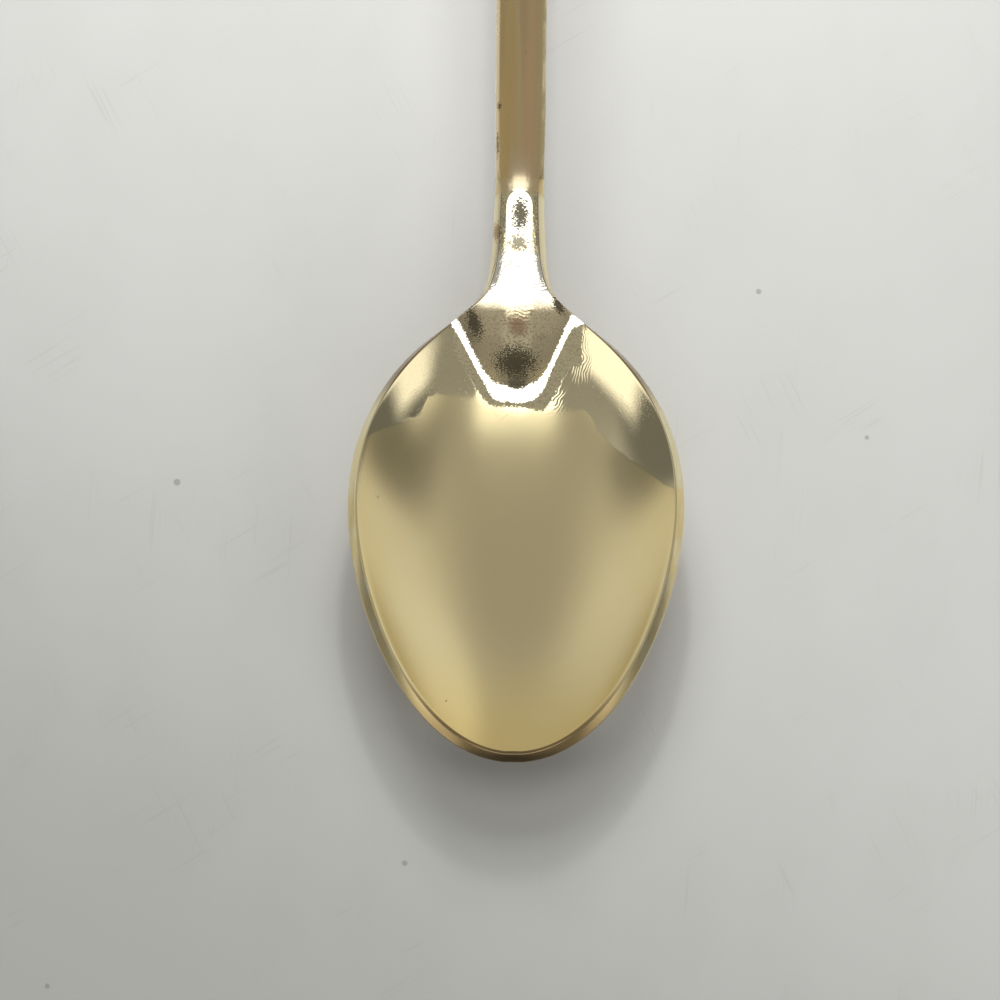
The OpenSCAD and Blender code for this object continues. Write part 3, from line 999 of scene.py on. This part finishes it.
# The stem and the rounded end: brushed lengthwise under the plating.
handleSetup = {
    "metallic": 1,
    "satin": (0.78, 0.6, 0.32),
    "warm": (0.76, 0.55, 0.24),
    "rosy": (0.79, 0.56, 0.3),
    "rubbed": (0.93, 0.8, 0.52),
    "bright": (1, 0.95, 0.8),
    "leftEdge": (0.95, 0.86, 0.66),
    "rightEdge": (0.42, 0.36, 0.2),
    "stain": (0.16, 0.12, 0.07),
    "roughness": 0.27,
    "bendFacing": (0, -0.47, 0.883),
    "smudges": {"size": 4.0},
    "hairlines": {"amount": 0.6},
    "specks": {"spacing": 4.5, "size": 0.1},
    "grain": {"size": 0.3},
    "noises": {"brushed": ((5, 0.1, 5), 81, 3.0, 0.65), "streaked": ((0.9, 0.03, 0.9), 82, 2.0)},
    "fades": {
        "warm": (-0.2, -1.4), "rosy": (-0.1, 0.6), "rosyEnd": (0.9, 1.7), "streak": (0.52, 0.7),
        "rightSide": (0.8, 1.9), "leftEdge": (-1, -1.6), "rightEdge": (1, 1.6), "farther": (0, 20),
    },
}


def handleFinish(setup):
    m = Finish("handleGold", setup)
    x, y, _ = splitXyz(m.tree, m.place)
    edge = m.attribute("edge")
    brushed, streaked = m.noise("brushed"), m.noise("streaked")
    cloudy = m.effect("smudges")
    rubbed = m.effect("edgeRub", edge=edge)
    scratched = m.effect("hairlines")
    pitted = m.effect("specks")
    height = m.effect("grain")
    turned = m.effect("bendTurn") * (1 - m.attribute("under"))
    drift = x + (streaked - 0.5) * 3
    nearer = 1 - m.fade("farther", y)
    # Painted light across the stem near the bend: the right half and the right edge are darkened as
    # painted shade, the left edge is lightened as a painted highlight, and the bend's turned patch is
    # lightened as a painted highlight too.
    color = m.tint(
        setup["satin"],
        (m.fade("warm", drift), "warm"),
        (m.fade("rosy", drift) * (1 - m.fade("rosyEnd", drift)), "rosy"),
        (m.fade("streak", streaked) * 0.25, "rightEdge"),
        (m.fade("rightSide", x) * nearer * 0.3, "rightEdge"),
        (edge * m.fade("leftEdge", x) * nearer * 0.7, "leftEdge"),
        (edge * m.fade("rightEdge", x) * nearer * 0.75, "rightEdge"),
        (rubbed * 0.6, "rubbed"),
        (turned * 0.4, "bright"),
        (largest(pitted * 0.4, allMarks(m, stemMarks)), "stain"),
    )
    roughness = setup["roughness"] + (brushed - 0.5) * 0.14 + (cloudy - 0.5) * 0.05 - turned * 0.05
    relief = brushed * 0.0025 + height * 0.0008 - scratched * scratchDepth - pitted * pitDepth
    roughness = roughness + scratched * scratchDulling
    return m.close(color, roughness, relief, turns=[(turned, setup["bendFacing"])])


bowlGold = bowlFinish(bowlSetup)
neckGold = neckFinish(neckSetup)
handleGold = handleFinish(handleSetup)
print("gold finishes built")

sharedSetup = {"topSteps": 90, "underSteps": 36, "cornerSteps": 6, "gatherStart": 0, "gatherEnd": 0}
pieceSetup = {
    "bowl": {"rings": 300, "gatherStart": 1, "finish": bowlGold, "slot": "satin_gold"},
    "neck": {"rings": 40, "finish": neckGold, "slot": "mirror_gold"},
    "stem": {"rings": 80, "finish": handleGold, "slot": "satin_gold"},
    "handle_end": {"rings": 140, "gatherEnd": 1, "finish": handleGold, "slot": "satin_gold"},
}
borders = [tipStart, sizes["neckStart"], sizes["bendAt"], sizes["widenStart"],
           sizes["handleLength"] - tipStart]
for (node, setup), start, end in zip(pieceSetup.items(), borders, borders[1:]):
    stations = {"fromStation": start, "toStation": end}
    piece = growPiece(node + "Metal", {**sizes, **sharedSetup, **setup, **stations})
    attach(piece, "root")
    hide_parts(node)
    setup["slot"]
    print(piece.name, "made:", len(piece.data.vertices), "points")

tableSetup = {
    "metallic": 0,
    "paint": (0.465, 0.467, 0.452),
    "shaded": (0.37, 0.372, 0.355),
    "speck": (0.2, 0.19, 0.17),
    "dusk": (0.12, 0.115, 0.1),
    "roughness": 0.55,
    "halfSize": 3,
    "smudges": {"size": 9.0},
    "hairlines": {"amount": 0.9},
    "specks": {"spacing": 11.0, "size": 0.34},
    "grain": {"size": 0.5},
    "coarser": (0.6, 0.6, 0.6),
    "underTip": {"y": -61, "halfX": 9.5, "halfY": 10},
    "fades": {"scratched": (0.35, 0.8), "farther": (-38, -110), "underTip": (0.9, 1.45),
              "pastRim": (-65.5, -71)},
}


def tableFinish(setup):
    m = Finish("tablePaint", setup)
    x, y, _ = splitXyz(m.tree, m.place)
    cloudy = m.effect("smudges")
    coarse = scaledPlace(m, m.place, setup["coarser"])
    scratched = m.effect("hairlines", place=coarse) * m.fade("scratched", cloudy)
    dotted = m.effect("specks")
    height = m.effect("grain")
    farther = m.fade("farther", y + x * 0.5)
    color = m.tint(
        setup["paint"],
        (clampedShare(farther + cloudy * 0.12), "shaded"),
        (largest(dotted * 0.6, scratched * 0.13), "speck"),
    )
    # the darkest shade lies close against the bowl's tip
    tip = setup["underTip"]
    fromTip = length(x / tip["halfX"], (y - tip["y"]) / tip["halfY"])
    underTip = (1 - m.fade("underTip", fromTip)) * m.fade("pastRim", y)
    color = m.tint(color, (underTip * 0.6, "dusk"))
    return m.close(color, setup["roughness"] + cloudy * 0.1, height * 0.004)


def makeTable(setup):
    half = setup["halfSize"]
    corners = [(-half, -half, 0), (half, -half, 0), (half, half, 0), (-half, half, 0)]
    mesh = bpy.data.meshes.new("table")
    mesh.from_pydata(corners, [], [(0, 1, 2, 3)])
    mesh.materials.append(tableFinish(setup))
    table = bpy.data.objects.new("table", mesh)
    scene.collection.objects.link(table)


makeTable(tableSetup)
print("table laid")

# The studio: a soft dome, dimmer overhead, with two tall windows and a dark low wall beyond
# the tip of the spoon. Directions are unit vectors.
studio = {
    "tint": (1, 0.985, 0.955, 1),
    "overhead": 0.36,
    "sides": 0.66,
    "beyondHandle": 0.47,
    "beyondTip": 0.44,
    "besideTip": 0.3,
    "windows": [
        # side position, half width, lowest and highest height, brightness
        (-0.59, 0.11, -0.1, 0.52, 1.35),
        (0.65, 0.06, -0.1, 0.5, 1.15),
    ],
    # direction, where the patch ends and where it is full, brightness
    "patches": [
        ((-0.84, -0.4, 0.367), 0.935, 0.98, 0.17),
        ((0.8, -0.42, 0.43), 0.935, 0.98, 0.16),
        ((0, -1, 0), 0.93, 0.985, 0.1),
        ((0.797, 0.579, 0.17), 0.8, 0.97, 0.74),
    ],
    "fades": {"handleSide": (0.15, 0.9), "tipSide": (0.15, 0.6), "aside": (0.2, 0.34),
              "overhead": (0.45, 0.95), "windowSide": (-0.03, 0.05), "windowFoot": (-0.04, 0.04),
              "windowTop": (-0.06, 0.06)},
}


def makeStudio(setup):
    world = bpy.data.worlds.new("studio")
    scene.world = world
    world.use_nodes = True
    m = Tree(world.node_tree)
    background = world.node_tree.nodes["Background"]
    background.inputs["Color"].default_value = setup["tint"]
    x, y, z = splitXyz(m.tree, m.add("ShaderNodeTexCoord").outputs["Generated"])

    def fade(name, value, start=0):
        return eased(*(start + part for part in setup["fades"][name]), value)

    beyond = fade("tipSide", y * -1)
    glow = pick(fade("handleSide", y), setup["beyondHandle"], setup["sides"])
    tipGlow = pick(fade("aside", absolute(x)), setup["besideTip"], setup["beyondTip"])
    glow = pick(beyond, tipGlow, glow)
    glow = pick(fade("overhead", z), setup["overhead"], glow)
    for centre, ends, full, bright in setup["patches"]:
        facing = x * centre[0] + y * centre[1] + z * centre[2]
        glow = pick(eased(ends, full, facing), bright, glow)
    for centre, half, low, high, bright in setup["windows"]:
        side = 1 - fade("windowSide", absolute(x - centre), half)
        tall = fade("windowFoot", z, low) * (1 - fade("windowTop", z, high))
        glow = pick(side * tall * beyond, bright, glow)
    m.tree.links.new(glow.socket, background.inputs["Strength"])


def makeLamp(name, setup):
    data = bpy.data.lights.new(name, "AREA")
    data.shape = "RECTANGLE"
    data.size, data.size_y = setup["size"]
    data.energy = setup["power"]
    lamp = bpy.data.objects.new(name, data)
    lamp.location = setup["place"]
    aim = Vector(setup["aim"]) - Vector(setup["place"])
    lamp.rotation_euler = aim.to_track_quat("-Z", "Y").to_euler()
    lamp.visible_camera = False
    lamp.visible_glossy = setup["inGloss"]
    scene.collection.objects.link(lamp)


lamps = {
    # behind the handle, low: the floor's falloff and the long shadow past the tip
    "windowLamp": {"place": (-0.008, 0.165, 0.155), "aim": (0, -0.04, 0), "size": (0.14, 0.1),
                   "power": 0.67, "inGloss": False},
    # small and nearer: the defined outer border of that shadow
    "deskLamp": {"place": (0, 0.09, 0.1), "aim": (0, -0.07, 0), "size": (0.012, 0.012),
                 "power": 0.09, "inGloss": False},
    # beyond the tip: seen in the neck and under the tongue
    "frontLamp": {"place": (0.01, -0.475, 0.435), "aim": (0, -0.03, 0), "size": (0.39, 0.17),
                  "power": 0.335, "inGloss": True},
    # to the right: lifts the right side of the floor
    "sideLamp": {"place": (0.15, -0.13, 0.1), "aim": (0, -0.06, 0), "size": (0.1, 0.1),
                 "power": 0.1, "inGloss": False},
}
makeStudio(studio)
for name, setup in lamps.items():
    makeLamp(name, setup)
scene.view_settings.view_transform = "Standard"
print("studio lit")
